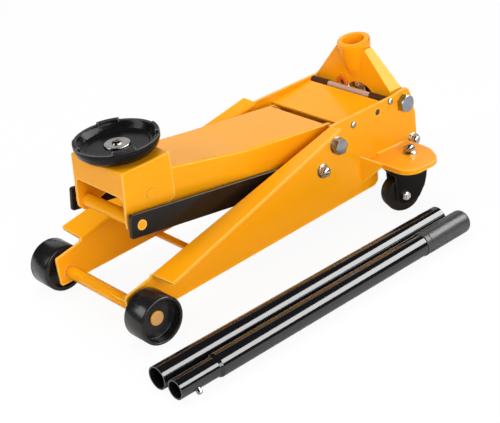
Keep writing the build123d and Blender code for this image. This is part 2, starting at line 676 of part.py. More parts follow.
def yoke_channel():
    """Folded sheet seen from the front as a trapezoid on upright sides, open behind and below."""
    (x0, z0), (x1, z1) = fold_top, fold_low
    apex = z0 + (z0 - z1) * x0 / (x1 - x0)
    face = make_face(Polyline((0, apex), (x1, z1), (x1, -40), (-x1, -40), (-x1, z1), close=True))
    outer = extrude(Plane.XZ.offset(-yoke_face) * face, 45, dir=(0, 1, 0))
    inner = extrude(Plane.XZ.offset(-yoke_face - yoke_t) * offset(face, -yoke_t), 60, dir=(0, 1, 0))
    side = [(yoke_face, z0), (-4, z0), (4.5, z1), (12, 17), (16, 3), (12, -10), (0, -15), (-12, -10),
            (yoke_face, yoke_hem)]
    body = (outer - inner) & slab(profile(side, {3: 6, 4: 8, 5: 8, 6: 8, 7: 8}), -90, 90)
    return body - Pos(0, 0, yoke_hem - 30) * Box(2 * (x1 - yoke_t), 100, 60)


def roller_lugs():
    """Webs welded behind the sheet that carry the ends of the roller's pin."""
    back = yoke_face + yoke_t
    web = profile([(back, 30), (back, 52), (-2, 46), (22, 16), (25, 2), (16, -7), (7, -4)], {3: 8, 4: 6, 5: 6, 6: 4})
    hole = Rot(yoke_lean, 0, 0) * rod(4.0, lug_x - 1, lug_x + 7, (roller_at, 0))
    return on_pivot(both(slab(web, lug_x, lug_x + 6) - hole))


def yoke_sheet():
    """Pressed yoke: front, slanting side strips, ears, eye and arched cut-out."""
    shape = yoke_channel() + bar_y(12, yoke_face - 2.5, yoke_face + 1, *eye)
    shape -= bar_y(5, yoke_face - 5, yoke_face + 2, *eye)
    shape -= bar_y(38, yoke_face - 5, yoke_face + 5, 13, -12.4)
    shape -= rod(shaft_r + 0.06, -90, 90, (0, 0))
    return on_pivot(shape - Rot(yoke_lean, 0, 0) * socket_body())


def yoke_roller():
    return on_yoke(rod(8, -12.7, 12.7, (roller_at, 0), hole=4.05))


def roller_pin():
    """Pin with a shoulder each side of the roller."""
    pin = rod(4.0, -lug_x - 8, lug_x + 8, (roller_at, 0))
    shoulder = rod(6.0, 13, lug_x - 0.2, (roller_at, 0))
    return on_yoke(pin + shoulder + mirrored(shoulder))


def release_knuckle():
    """Head of the release valve, slotted for the handle's end."""
    x, y = release
    head = post(8.5, 134, 150, x, y)
    head = chamfer(head.edges().sort_by(Axis.Z)[-1], 1.5)
    return rake_up(post(5.0, 92, 135, x, y) + head - Pos(x, y, 150) * Box(3, 30, 6))


# ---- casters, drawn with the stud on the Z axis and the axle along X -----------------

def at_caster(shape):
    return Pos(stud[0], stud[1], 0) * Rot(0, 0, caster_angle) * shape


def caster_stud():
    """Swivel stud, its head under the fork and its thread above the wing."""
    return post(5.0, 77.5, wing_top + 13, *stud) + post(8.5, 76.5, 80.0, *stud)


def stud_nut():
    """Dome nut over a thick washer on top of the wing."""
    x, y = stud
    body = extrude(Pos(x, y, wing_top + 2.5) * RegularPolygon(9.8, 6), 6.8)
    dome = post(6.9, wing_top + 9.3, wing_top + 14.5, x, y)
    body += post(11.5, wing_top, wing_top + 2.5, x, y) + chamfer(dome.edges().sort_by(Axis.Z)[-1], 3)
    return body - post(5.0, wing_top - 1, wing_top + 13, x, y)


def caster_race():
    """Pressed raceway between the wing and the fork."""
    x, y = stud
    return post(21, wing_top - plate_t - 4.2, wing_top - plate_t, x, y, hole=5.0)


def caster_fork():
    """Hooded fork: level top, short front skirt and two broad legs that trail to the axle."""
    top_z = wing_top - plate_t - 4.5
    side = profile([(22, top_z), (-42, top_z), (-42, top_z - 15), (-35, top_z - 19), (-33, 22), (-26, 15),
                    (-12, 14), (5, 22), (15, 40), (21, 62)], {0: 5, 1: 5, 2: 4, 4: 6, 5: 6, 6: 8, 7: 8, 8: 10})
    outer_x = caster_w / 2 + 5.0
    body = slab(side, -outer_x, outer_x)
    body -= slab(profile([(-38.8, 0), (-38.8, top_z - 4), (40, top_z - 4), (40, 0)]), -outer_x + 3.2, outer_x - 3.2)
    folds = [e for e in body.edges() if abs(abs(e.center().X) - outer_x) < 0.1 and abs(e.center().Z - top_z) < 0.1]
    body = chamfer(folds, 2) - post(5.05, 60, 100, 0, 0)
    return at_caster(body - rod(4.0, -30, 30, (-caster_trail, caster_r)))


def caster_axle():
    """Axle bolt with a hexagon head, and its nut on the outer leg."""
    point = (-caster_trail, caster_r)
    outer_x = caster_w / 2 + 5.0
    bolt = rod(4.0, -outer_x, outer_x + 7, point)
    bolt += rod(6.5, -outer_x - 4, -outer_x, point)
    nut = hex_bar(12.5, outer_x, outer_x + 5.5, point)
    return at_caster(bolt + nut)


def caster_wheel():
    """Hard roller with a shallow ring groove each side and crowned edges."""
    half = caster_w / 2
    section = [(4.08, -half - 1.3), (9, -half - 1.3), (9, -half), (caster_r - 3, -half), (caster_r, -half + 4),
               (caster_r, half - 4), (caster_r - 3, half), (9, half), (9, half + 1.3), (4.08, half + 1.3)]
    wheel = revolve(make_face(Plane.XZ * Polyline(*section, close=True)), Axis.Z)
    return at_caster(Pos(0, -caster_trail, caster_r) * Rot(0, 90, 0) * wheel)


# ---- handle sections lying beside the jack, drawn along +Y ---------------------------

def lay_lower(shape):
    return Pos(lower_start[0], lower_start[1], tube_r) * Rot(0, 0, lower_turn) * shape


def lay_upper(shape):
    return Pos(upper_start[0], upper_start[1], grip_r) * Rot(0, 0, upper_turn) * shape


def handle_lower():
    """Plain tube with a hole near one end for the snap button."""
    tube = bar_y(tube_r, 0, lower_len, 0, 0, hole=tube_r - tube_wall)
    hole = Pos(0, button_at + 1, 0) * Rot(0, -50, 0) * post(button_r + 0.4, 5, 25, 0, 0)
    return lay_lower(tube - hole)


def handle_upper():
    """Tube swaged down at its front end, with a hole for the snap button."""
    bore = tube_r - tube_wall
    neck_bore = neck_r - tube_wall
    tube = bar_y(tube_r, neck_len + 5, upper_len - 4, 0, 0, hole=bore)
    tube += bar_y(neck_r, 0, neck_len, 0, 0, hole=neck_bore)
    swage = Pos(0, neck_len, 0) * Rot(-90, 0, 0) * Cone(neck_r, tube_r, 5,
                                                        align=(Align.CENTER, Align.CENTER, Align.MIN))
    swage -= Pos(0, neck_len, 0) * Rot(-90, 0, 0) * Cone(neck_bore, bore, 5,
                                                         align=(Align.CENTER, Align.CENTER, Align.MIN))
    tube += swage
    hole = Pos(0, button_at, 0) * Rot(0, 130, 0) * post(button_r + 0.15, 5, 25, 0, 0)
    return lay_upper(tube - hole)


def handle_grip():
    """Sleeve grip with a closed end."""
    start = upper_len - grip_len
    grip = bar_y(grip_r, start, upper_len, 0, 0)
    grip = chamfer(grip.edges().sort_by(Axis.Y)[-1], 3.5)
    return lay_upper(grip - bar_y(tube_r, start - 1, upper_len - 4, 0, 0))


def snap_button():
    """Sprung pin with a flange that stops it inside the wall."""
    button = post(button_r, neck_r - 5.2, neck_r + 7.4, 0, 0)
    button = chamfer(button.edges().sort_by(Axis.Z)[-1], 1.8)
    button += post(5.2, neck_r - 5.2, neck_r - 3.7, 0, 0)
    return lay_upper(Pos(0, button_at, 0) * Rot(0, 130, 0) * button)


def button_spring():
    """Bow of spring leaf across the swaged end, under the button."""
    bow = [(button_at - 16, -11.0), (button_at - 6, 0.2), (button_at + 6, 0.2), (button_at + 16, -11.0)]
    leaf = slab(profile(bow + [(y, z + 0.9) for y, z in reversed(bow)]), -2.5, 2.5)
    return lay_upper(leaf.rotate(Axis((0, 0, 0), (0, 1, 0)), 130))


# ---- write the pieces ----------------------------------------------------------------

def single(shape):
    """The one solid of a piece that must be in one piece."""
    solids = shape.solids()
    return solids[0] if len(solids) == 1 else Compound(children=list(solids))


bar, sleeve, spacers = tie_rod_parts()
plugs = plug(5.0, 13, -18, 515) + plug(4.0, 10, -18, 536)

pieces = {
    "side_plate_right": side_plate(),
    "front_axle": front_axle(),
    "front_brace": front_brace(),
    "top_cover": top_cover(),
    "frame_screws": frame_screws(),
    "tie_rod": bar,
    "tie_rod_sleeve": sleeve,
    "spacer_tubes": Compound(children=list(spacers.solids()) + list(both(rake_up(link_spacer())).solids())),
    "lift_shaft": lift_shaft(),
    "lift_shaft_nuts": lift_nuts(),
    "link_bolts": both(rake_up(link_bolt())),
    "dome_nuts": dome_nuts(),
    "stay_bolt": stay_bar(),
    "yoke_bolts": both(rake_up(yoke_bolt())),
    "power_block": power_block(),
    "reservoir_tube": reservoir_tube(),
    "ram_cylinder": ram_cylinder(),
    "cylinder_gland": cylinder_gland(),
    "cylinder_plate": cylinder_plate(),
    "block_plugs": Compound(children=list(rake_up(plugs).solids())),
    "pump_barrel": pump_barrel(),
    "pump_spring": pump_spring(),
    "pump_plunger": pump_plunger(),
    "ram_rod": ram_rod(),
    "ram_head": ram_head(),
    "lift_arm": arm_channel(),
    "arm_pivot_tube": pivot_tube(),
    "arm_lever": arm_lever(),
    "link_bars": both(link_bar()),
    "saddle_bracket": saddle_bracket(),
    "saddle_boss": saddle_boss(),
    "saddle_pin": saddle_pin(),
    "link_shaft": link_shaft(),
    "link_shaft_spacers": shaft_spacers(),
    "saddle": saddle(),
    "saddle_washer": saddle_washer(),
    "saddle_screw": saddle_screw(),
    "handle_socket": handle_socket(),
    "yoke_sheet": yoke_sheet(),
    "roller_lugs": roller_lugs(),
    "yoke_roller": yoke_roller(),
    "yoke_roller_pin": roller_pin(),
    "release_knuckle": release_knuckle(),
    "front_wheel_right": front_wheel(),
    "caster_studs": both(caster_stud()),
    "caster_stud_nuts": both(stud_nut()),
    "caster_races": both(caster_race()),
    "caster_fork_right": caster_fork(),
    "caster_axle_right": caster_axle(),
    "caster_wheel_right": caster_wheel(),
    "handle_lower": handle_lower(),
    "handle_upper": handle_upper(),
    "handle_grip": handle_grip(),
    "snap_button": snap_button(),
    "button_spring": button_spring(),
}
for name in ("side_plate", "front_wheel", "caster_fork", "caster_axle", "caster_wheel"):
    pieces[name + "_left"] = mirrored(pieces[name + "_right"])

os.makedirs("parts", exist_ok=True)
for name, shape in pieces.items():
    export_step(single(Pos(-origin[0], -origin[1], 0) * shape), f"parts/{name}.step")
    print(name, len(shape.solids()))
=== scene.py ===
import bmesh
import bpy
import json
import math
from mathutils import Matrix, Vector


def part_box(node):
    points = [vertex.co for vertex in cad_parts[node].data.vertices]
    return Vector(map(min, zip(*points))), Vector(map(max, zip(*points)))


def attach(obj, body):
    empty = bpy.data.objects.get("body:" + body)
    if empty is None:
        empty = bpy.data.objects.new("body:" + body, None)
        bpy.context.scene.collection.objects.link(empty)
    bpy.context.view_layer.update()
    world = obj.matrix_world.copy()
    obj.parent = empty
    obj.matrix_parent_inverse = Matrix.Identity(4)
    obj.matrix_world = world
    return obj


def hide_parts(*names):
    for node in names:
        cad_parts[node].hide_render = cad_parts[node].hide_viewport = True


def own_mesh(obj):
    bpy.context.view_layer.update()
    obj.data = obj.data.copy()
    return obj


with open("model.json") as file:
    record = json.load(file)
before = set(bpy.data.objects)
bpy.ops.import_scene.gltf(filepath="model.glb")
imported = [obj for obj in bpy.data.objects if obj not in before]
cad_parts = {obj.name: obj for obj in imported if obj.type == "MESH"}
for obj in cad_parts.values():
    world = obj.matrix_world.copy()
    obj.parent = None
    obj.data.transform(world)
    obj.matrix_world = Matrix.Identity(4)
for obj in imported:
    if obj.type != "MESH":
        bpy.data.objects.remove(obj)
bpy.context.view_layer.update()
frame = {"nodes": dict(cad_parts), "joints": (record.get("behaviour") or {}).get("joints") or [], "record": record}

nodes = frame["nodes"]
scene = bpy.context.scene
scene.view_settings.view_transform = "Standard"


def feed(tree, node, inputs):
    # an input takes a plain value, or a link when it is given a socket
    for key, value in inputs.items():
        if isinstance(value, bpy.types.NodeSocket):
            tree.links.new(value, node.inputs[key])
        else:
            node.inputs[key].default_value = value


def addNode(tree, kind, spot, inputs=None, **settings):
    node = tree.nodes.new(kind)
    node.location = spot
    for key, value in settings.items():
        setattr(node, key, value)
    feed(tree, node, inputs or {})
    return node


def calculate(tree, spot, operation, *values):
    node = addNode(tree, "ShaderNodeMath", spot, dict(enumerate(values)), operation=operation)
    return node.outputs["Value"]


def mixColours(tree, spot, share, first, second):
    # a mix of two colours; the node's colour sockets are 6 and 7
    inputs = {0: share, 6: first, 7: second}
    return addNode(tree, "ShaderNodeMix", spot, inputs, data_type="RGBA").outputs[2]


def remap(tree, spot, value, source, target=(0.0, 1.0)):
    inputs = {"Value": value, "From Min": source[0], "From Max": source[1],
              "To Min": target[0], "To Max": target[1]}
    return addNode(tree, "ShaderNodeMapRange", spot, inputs).outputs["Result"]


def noise(tree, spot, vector, scale, detail, roughness=0.5):
    inputs = {"Vector": vector, "Scale": scale, "Detail": detail, "Roughness": roughness}
    return addNode(tree, "ShaderNodeTexNoise", spot, inputs).outputs["Fac"]


def newGroup(name, inputs, outputs):
    # inputs give each starting value, with None for a vector; outputs give each kind
    group = bpy.data.node_groups.new(name, "ShaderNodeTree")
    for label, value in inputs.items():
        kind = "Vector" if value is None else "Color" if isinstance(value, tuple) else "Float"
        socket = group.interface.new_socket(name=label, in_out="INPUT",
                                            socket_type="NodeSocket" + kind)
        if value is not None:
            socket.default_value = value
    for label, kind in outputs.items():
        group.interface.new_socket(name=label, in_out="OUTPUT", socket_type="NodeSocket" + kind)
    start = addNode(group, "NodeGroupInput", (-900, 0)).outputs
    end = addNode(group, "NodeGroupOutput", (600, 0))
    return group, start, end


paintEffect = {"driftScale": 7.0, "driftDetail": 3.0, "driftRoughness": 0.55,
               "driftSpan": (0.3, 0.7), "shadeShare": 0.35, "peelDetail": 2.0,
               "peelRoughness": 0.4, "speckScale": 900.0, "speckDetail": 1.0,
               "speckSpan": (0.72, 0.8), "speckHeight": 0.6, "haze": 0.08, "coatRoughness": 0.06}


def makePaintSkin():
    # sprayed paint: slow drift of tone, orange peel and a few dust specks
    group, start, end = newGroup(
        "paintSkin",
        {"Vector": None, "Tone": (1, 1, 1, 1), "Shade": (0.5, 0.5, 0.5, 1), "Peel Scale": 260.0,
         "Gloss": 0.2},
        {"Color": "Color", "Roughness": "Float", "Height": "Float"})
    vector, look = start["Vector"], paintEffect
    drift = noise(group, (-600, 200), vector, look["driftScale"], look["driftDetail"],
                  look["driftRoughness"])
    share = remap(group, (-400, 200), drift, look["driftSpan"], (0.0, look["shadeShare"]))
    peel = noise(group, (-600, -100), vector, start["Peel Scale"], look["peelDetail"],
                 look["peelRoughness"])
    speck = noise(group, (-600, -350), vector, look["speckScale"], look["speckDetail"])
    dust = remap(group, (-400, -350), speck, look["speckSpan"], (0.0, look["speckHeight"]))
    feed(group, end, {
        "Color": mixColours(group, (-150, 200), share, start["Tone"], start["Shade"]),
        "Roughness": calculate(group, (-150, 0), "MULTIPLY_ADD", drift, look["haze"],
                               start["Gloss"]),
        "Height": calculate(group, (-150, -200), "ADD", peel, dust)})
    return group


castEffect = {"lumpDetail": 4.0, "lumpRoughness": 0.6, "pitScale": 420.0, "pitSpan": (0.05, 0.3),
              "pitDepth": 0.25, "haze": 0.25, "paleGain": 1.8, "paleLift": 0.004}


def makeCastSkin():
    # rough casting under paint: two sizes of lumps and pits
    group, start, end = newGroup(
        "castSkin", {"Vector": None, "Lump Scale": 220.0, "Gloss": 0.3},
        {"Height": "Float", "Roughness": "Float", "Mask": "Float"})
    lumps = noise(group, (-600, 200), start["Vector"], start["Lump Scale"],
                  castEffect["lumpDetail"], castEffect["lumpRoughness"])
    pits = addNode(group, "ShaderNodeTexVoronoi", (-600, -100),
                   {"Vector": start["Vector"], "Scale": castEffect["pitScale"], "Randomness": 1.0},
                   feature="F1")
    flat = remap(group, (-400, -100), pits.outputs["Distance"], castEffect["pitSpan"])
    feed(group, end, {
        "Height": calculate(group, (-150, 100), "MULTIPLY_ADD", flat, castEffect["pitDepth"],
                            lumps),
        "Roughness": calculate(group, (-150, -100), "MULTIPLY_ADD", lumps, castEffect["haze"],
                               start["Gloss"]),
        "Mask": lumps})
    return group


paintedHighlightEffect = {"reach": 0.0024, "start": 0.9, "full": 0.68, "samples": 12}


def makePaintedHighlightMask():
    # a painted highlight along outer folds and corners, where the paint catches light
    group, start, end = newGroup("paintedHighlightMask", {"Amount": 0.6}, {"Mask": "Float"})
    inner = addNode(group, "ShaderNodeAmbientOcclusion", (-600, 0),
                    {"Distance": paintedHighlightEffect["reach"]}, inside=True, only_local=True,
                    samples=paintedHighlightEffect["samples"])
    near = remap(group, (-350, 0), inner.outputs["AO"], (paintedHighlightEffect["start"], paintedHighlightEffect["full"]))
    feed(group, end, {"Mask": calculate(group, (-100, 0), "MULTIPLY", near, start["Amount"])})
    return group


turnedEffect = {"cloudScale": 160.0, "cloudDetail": 4.0, "cloudRoughness": 0.6,
                "lineDetail": 2.0, "haze": 0.22}


def makeTurnedSkin():
    # fine machining lines and a cloudy plated finish
    group, start, end = newGroup(
        "turnedSkin",
        {"Vector": None, "Bright": (0.8, 0.8, 0.8, 1), "Dull": (0.5, 0.5, 0.5, 1),
         "Line Scale": 900.0, "Gloss": 0.25},
        {"Color": "Color", "Roughness": "Float", "Height": "Float"})
    cloud = noise(group, (-600, 200), start["Vector"], turnedEffect["cloudScale"],
                  turnedEffect["cloudDetail"], turnedEffect["cloudRoughness"])
    feed(group, end, {
        "Color": mixColours(group, (-150, 200), cloud, start["Bright"], start["Dull"]),
        "Roughness": calculate(group, (-150, -50), "MULTIPLY_ADD", cloud, turnedEffect["haze"],
                               start["Gloss"]),
        "Height": noise(group, (-600, -100), start["Vector"], start["Line Scale"],
                        turnedEffect["lineDetail"])})
    return group


paintSkin, castSkin = makePaintSkin(), makeCastSkin()
turnedSkin, paintedHighlightMask = makeTurnedSkin(), makePaintedHighlightMask()


def newMaterial(name):
    material = bpy.data.materials.new(name)
    material.use_nodes = True
    return material, material.node_tree, material.node_tree.nodes["Principled BSDF"]


def addSkin(tree, skin, inputs):
    # a shared surface effect that stays with the object
    place = addNode(tree, "ShaderNodeTexCoord", (-1100, 0)).outputs["Object"]
    return addNode(tree, "ShaderNodeGroup", (-600, 0), {"Vector": place, **inputs},
                   node_tree=skin).outputs


def opaque(colour):
    return (*colour, 1)


def addBump(tree, shader, height, distance):
    bump = addNode(tree, "ShaderNodeBump", (-250, -300),
                   {"Height": height, "Distance": distance, "Strength": 1.0})
    feed(tree, shader, {"Normal": bump.outputs["Normal"]})


def addPaintedHighlight(tree, colour, paintedHighlightTone, amount):
    # lays a paler tone over a colour along the outer edges, as a painted highlight
    if not paintedHighlightTone:
        return colour
    edge = addNode(tree, "ShaderNodeGroup", (-600, 400), {"Amount": amount}, node_tree=paintedHighlightMask)
    return mixColours(tree, (-300, 400), edge.outputs["Mask"], colour, opaque(paintedHighlightTone))


def paintMaterial(name, tone, shade, gloss, peelScale=260.0, peelDepth=0.00006, coat=0.0,
                  specular=0.5, tint=(1, 1, 1), paintedHighlightTone=None, paintedHighlightAmount=0.6):
    material, tree, shader = newMaterial(name)
    skin = addSkin(tree, paintSkin, {"Tone": opaque(tone), "Shade": opaque(shade),
                                     "Peel Scale": peelScale, "Gloss": gloss})
    feed(tree, shader, {
        "Base Color": addPaintedHighlight(tree, skin["Color"], paintedHighlightTone, paintedHighlightAmount),
        "Roughness": skin["Roughness"],
        "Specular IOR Level": specular,
        "Specular Tint": opaque(tint),
        "Coat Weight": coat,
        "Coat Roughness": paintEffect["coatRoughness"]})
    addBump(tree, shader, skin["Height"], peelDepth)
    return material


def castMaterial(name, tone, lumpScale, depth, gloss, specular=0.5, paintedHighlightTone=None,
                 paintedHighlightAmount=0.6):
    material, tree, shader = newMaterial(name)
    skin = addSkin(tree, castSkin, {"Lump Scale": lumpScale, "Gloss": gloss})
    pale = [min(1.0, c * castEffect["paleGain"] + castEffect["paleLift"]) for c in tone]
    colour = mixColours(tree, (-300, 200), skin["Mask"], opaque(tone), opaque(pale))
    feed(tree, shader, {
        "Base Color": addPaintedHighlight(tree, colour, paintedHighlightTone, paintedHighlightAmount),
        "Roughness": skin["Roughness"],
        "Specular IOR Level": specular})
    addBump(tree, shader, skin["Height"], depth)
    return material


def metalMaterial(name, bright, dull, gloss, lineScale=900.0, depth=0.00002):
    material, tree, shader = newMaterial(name)
    skin = addSkin(tree, turnedSkin, {"Bright": opaque(bright), "Dull": opaque(dull),
                                      "Line Scale": lineScale, "Gloss": gloss})
    feed(tree, shader, {"Base Color": skin["Color"], "Roughness": skin["Roughness"],
                        "Metallic": 1.0})
    addBump(tree, shader, skin["Height"], depth)
    return material


orange = {"tone": (0.95, 0.378, 0.006), "shade": (0.93, 0.352, 0.004), "gloss": 0.13,
          "specular": 0.32, "tint": (1, 0.62, 0.2)}
# painted highlight: the orange, link and fork paints below take a paler tone along their outer edges
paints = {
    "orangePaint": {**orange, "paintedHighlightTone": (1, 0.72, 0.2), "paintedHighlightAmount": 0.55},
    "plainPaint": orange,
    "blackPaint": {"tone": (0.006, 0.006, 0.007), "shade": (0.01, 0.01, 0.011), "gloss": 0.05,
                   "peelDepth": 0.00002, "coat": 0.45, "specular": 0.35},
    "linkPaint": {"tone": (0.009, 0.006, 0.004), "shade": (0.014, 0.010, 0.007), "gloss": 0.14,
                  "specular": 0.2, "paintedHighlightTone": (0.06, 0.05, 0.04)},
    "forkPaint": {"tone": (0.006, 0.005, 0.004), "shade": (0.009, 0.007, 0.006), "gloss": 0.3,
                  "specular": 0.12, "paintedHighlightTone": (0.05, 0.045, 0.04)},
    "sleeveSteel": {"tone": (0.56, 0.38, 0.27), "shade": (0.46, 0.30, 0.21), "gloss": 0.2,
                    "specular": 0.8, "peelDepth": 0.000004},
    # painted shade: near-black maroon for the arm's pivot tube, lever and spacers, so the gap above them reads
    # dark
    "primer": {"tone": (0.05, 0.008, 0.001), "shade": (0.08, 0.02, 0.002), "gloss": 0.4},
    # painted shade: the darker red-orange of the eye ring
    "eyePaint": {"tone": (0.72, 0.13, 0.008), "shade": (0.6, 0.10, 0.006), "gloss": 0.2},
    # painted shadow: the near-black red of the dark discs in the eye and in the side-plate holes
    "plugRubber": {"tone": (0.09, 0.022, 0.003), "shade": (0.07, 0.018, 0.003), "gloss": 0.4},
    "axleEnd": {"tone": (0.72, 0.37, 0.13), "shade": (0.62, 0.29, 0.09), "gloss": 0.3},
    "seam": {"tone": (0.62, 0.19, 0.004), "shade": (0.5, 0.15, 0.004), "gloss": 0.3},
}
# painted highlight: the roller and saddle castings take a paler tone along their edges
castings = {
    "rollerPaint": {"tone": (0.006, 0.006, 0.006), "lumpScale": 120.0, "depth": 0.00008,
                    "gloss": 0.12, "specular": 0.4, "paintedHighlightTone": (0.06, 0.055, 0.05)},
    "castBlack": {"tone": (0.003, 0.003, 0.003), "lumpScale": 260.0, "depth": 0.0002,
                  "gloss": 0.05, "specular": 0.12, "paintedHighlightTone": (0.22, 0.22, 0.22)},
    "moulded": {"tone": (0.036, 0.036, 0.037), "lumpScale": 620.0, "depth": 0.00012,
                "gloss": 0.16, "specular": 0.3},
    "casterPlastic": {"tone": (0.006, 0.006, 0.005), "lumpScale": 90.0, "depth": 0.00006,
                      "gloss": 0.2, "specular": 0.3},
}
metals = {
    "zincPlate": {"bright": (0.56, 0.55, 0.53), "dull": (0.26, 0.24, 0.20), "gloss": 0.1,
                  "depth": 0.000008},
    "zincBrushed": {"bright": (0.34, 0.36, 0.40), "dull": (0.22, 0.23, 0.26), "gloss": 0.2,
                    "lineScale": 500.0, "depth": 0.00001},
    # a brighter copy of zinc for the caster axles: partly their bright plating, partly painted light that makes up
    # for the light they miss
    "zincBright": {"bright": (0.95, 0.95, 0.96), "dull": (0.7, 0.7, 0.7), "gloss": 0.24,
                   "depth": 0.000008},
    "darkSteel": {"bright": (0.10, 0.07, 0.045), "dull": (0.05, 0.035, 0.025), "gloss": 0.3},
    "hardChrome": {"bright": (0.82, 0.82, 0.84), "dull": (0.74, 0.74, 0.76), "gloss": 0.04},
    "springSteel": {"bright": (0.42, 0.40, 0.38), "dull": (0.28, 0.27, 0.26), "gloss": 0.22},
    "brassTurned": {"bright": (0.78, 0.56, 0.30), "dull": (0.55, 0.36, 0.17), "gloss": 0.2},
}
finishes = {}
for makeMaterial, looks in ((paintMaterial, paints), (castMaterial, castings),
                            (metalMaterial, metals)):
    for lookName, look in looks.items():
        finishes[lookName] = makeMaterial(lookName, **look)

bySlot = {"orange_paint": "orangePaint", "black_paint": "blackPaint", "black_cast": "castBlack",
          "black_roller": "rollerPaint", "zinc": "zincPlate", "dark_steel": "darkSteel",
          "hard_chrome": "hardChrome", "spring_steel": "springSteel", "brass": "brassTurned",
          "grip": "moulded", "caster_tread": "casterPlastic"}
slotOf = {part["node"]: part["material_slot"] for part in frame["record"]["subparts"]}
# the arm's pivot tube, lever and spacers take the painted shade
byNode = {"saddle_pin": "plainPaint", "yoke_sheet": "plainPaint", "handle_socket": "plainPaint",
          "top_cover": "plainPaint", "link_bars": "linkPaint", "yoke_bolts": "zincBrushed",
          "tie_rod_sleeve": "sleeveSteel", "arm_pivot_tube": "primer", "arm_lever": "primer",
          "spacer_tubes": "primer", "caster_fork_left": "forkPaint",
          # the caster axles take the brighter zinc, partly painted light
          "caster_fork_right": "forkPaint", "caster_axle_left": "zincBright",
          "caster_axle_right": "zincBright"}


def dressNode(name, obj):
    # a node's own finish comes before the one of its slot
    finish = finishes[byNode.get(name, bySlot[slotOf[name]])]
    if not obj.data.materials:
        obj.data.materials.append(finish)
    for materialSlot in obj.material_slots:
        materialSlot.material = finish


for nodeName, nodeObject in nodes.items():
    dressNode(nodeName, nodeObject)
print("stage: materials on", len(nodes), "nodes")


def middleOf(nodeName):
    low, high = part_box(nodeName)
    return (low + high) / 2


def jointNamed(name):
    return next(joint for joint in frame["joints"] if joint["name"] == name)


millimetres = Matrix.Scale(0.001, 4)  # the pieces below are drawn in millimetres
jackMiddle = middleOf("lift_shaft").x
plateFace = 0.0884  # a side plate's outer face, from the middle
sharpAngle = 32  # degrees
bevelSteps = 2
hexagon = 6
halfFlat = math.pi / hexagon  # turns a hexagon from a corner to a flat


def islands(nodeName):
    # lowest and highest corner of each separate solid in a node
    source = bmesh.new()
    source.from_mesh(nodes[nodeName].data)
    bmesh.ops.remove_doubles(source, verts=source.verts, dist=0.00001)
    unseen = set(source.verts)
    boxes = []
    for seed in source.verts:
        if seed not in unseen:
            continue
        unseen.discard(seed)
        stack = [seed]
        low, high = seed.co.copy(), seed.co.copy()
        while stack:
            vert = stack.pop()
            low = Vector(map(min, low, vert.co))
            high = Vector(map(max, high, vert.co))
            for edge in vert.link_edges:
                other = edge.other_vert(vert)
                if other in unseen:
                    unseen.discard(other)
                    stack.append(other)
        boxes.append((low, high))
    source.free()
    return boxes


def standOn(origin, axis):
    # a frame in millimetres at a point, its Z axis along the given one
    turn = axis.to_track_quat("Z", "Y").to_matrix().to_4x4()
    return Matrix.Translation(origin) @ turn @ millimetres


def outward(centre, face=plateFace):
    # a frame that stands on a side plate and points out from the jack
    side = 1 if centre.x > jackMiddle else -1
    return standOn((jackMiddle + side * face, centre.y, centre.z), Vector((side, 0, 0)))


def turned(mesh, outline, steps=48):
    # spins (radius, height) points about the Z axis
    verts = [mesh.verts.new((radius, 0, height)) for radius, height in outline]
    edges = [mesh.edges.new(pair) for pair in zip(verts, verts[1:])]
    bmesh.ops.spin(mesh, geom=verts + edges, axis=(0, 0, 1), cent=(0, 0, 0), angle=math.tau,
                   steps=steps, use_merge=True)
    bmesh.ops.remove_doubles(mesh, verts=mesh.verts, dist=0.001)


def eachOnce(edges):
    # a set would give another order in each run
    return list(dict.fromkeys(edges))


def bevelEdges(mesh, edges, size):
    bmesh.ops.bevel(mesh, geom=eachOnce(edges), offset=size, segments=bevelSteps, profile=0.5,
                    affect="EDGES", material=-1)


def prism(mesh, corners, radius, low, high, edge, twist=0.0):
    # an upright prism or cylinder with rounded edges
    place = Matrix.Translation((0, 0, (low + high) / 2)) @ Matrix.Rotation(twist, 4, "Z")
    made = bmesh.ops.create_cone(mesh, cap_ends=True, segments=corners, radius1=radius,
                                 radius2=radius, depth=high - low, matrix=place)
    bevelEdges(mesh, (e for vert in made["verts"] for e in vert.link_edges), edge)


def cornerRadius(across):
    # of a hexagon, from its width across flats
    return across / math.sqrt(3)


def washerOutline(radius, top, edge, underEdge=()):
    return [(0, top), (radius - edge, top), (radius, top - edge), *(underEdge or [(radius, 0)]),
            (0, 0)]


def arc(radius, rise, steps, lift=0.0):
    # a quarter round from its top to its side
    angles = [a * math.pi / 2 / steps for a in range(steps + 1)]
    return [(radius * math.sin(angle), lift + rise * math.cos(angle)) for angle in angles]


def addPiece(name, body, finish, mesh, node=None, sharp=sharpAngle):
    bmesh.ops.recalc_face_normals(mesh, faces=mesh.faces)
    data = bpy.data.meshes.new(name)
    mesh.to_mesh(data)
    mesh.free()
    data.polygons.foreach_set("use_smooth", [True] * len(data.polygons))
    data.set_sharp_from_angle(angle=math.radians(sharp))
    piece = bpy.data.objects.new(name, data)
    scene.collection.objects.link(piece)
    data.materials.append(finishes[finish])
    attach(piece, body)
    if node:
        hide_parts(node)
    return piece


def joinInto(whole, part, place):
    # moves a part made at the origin to its place and adds it to the whole
    part.transform(place)
    shell = bpy.data.meshes.new("part")
    part.to_mesh(shell)
    part.free()
    whole.from_mesh(shell)
    bpy.data.meshes.remove(shell)


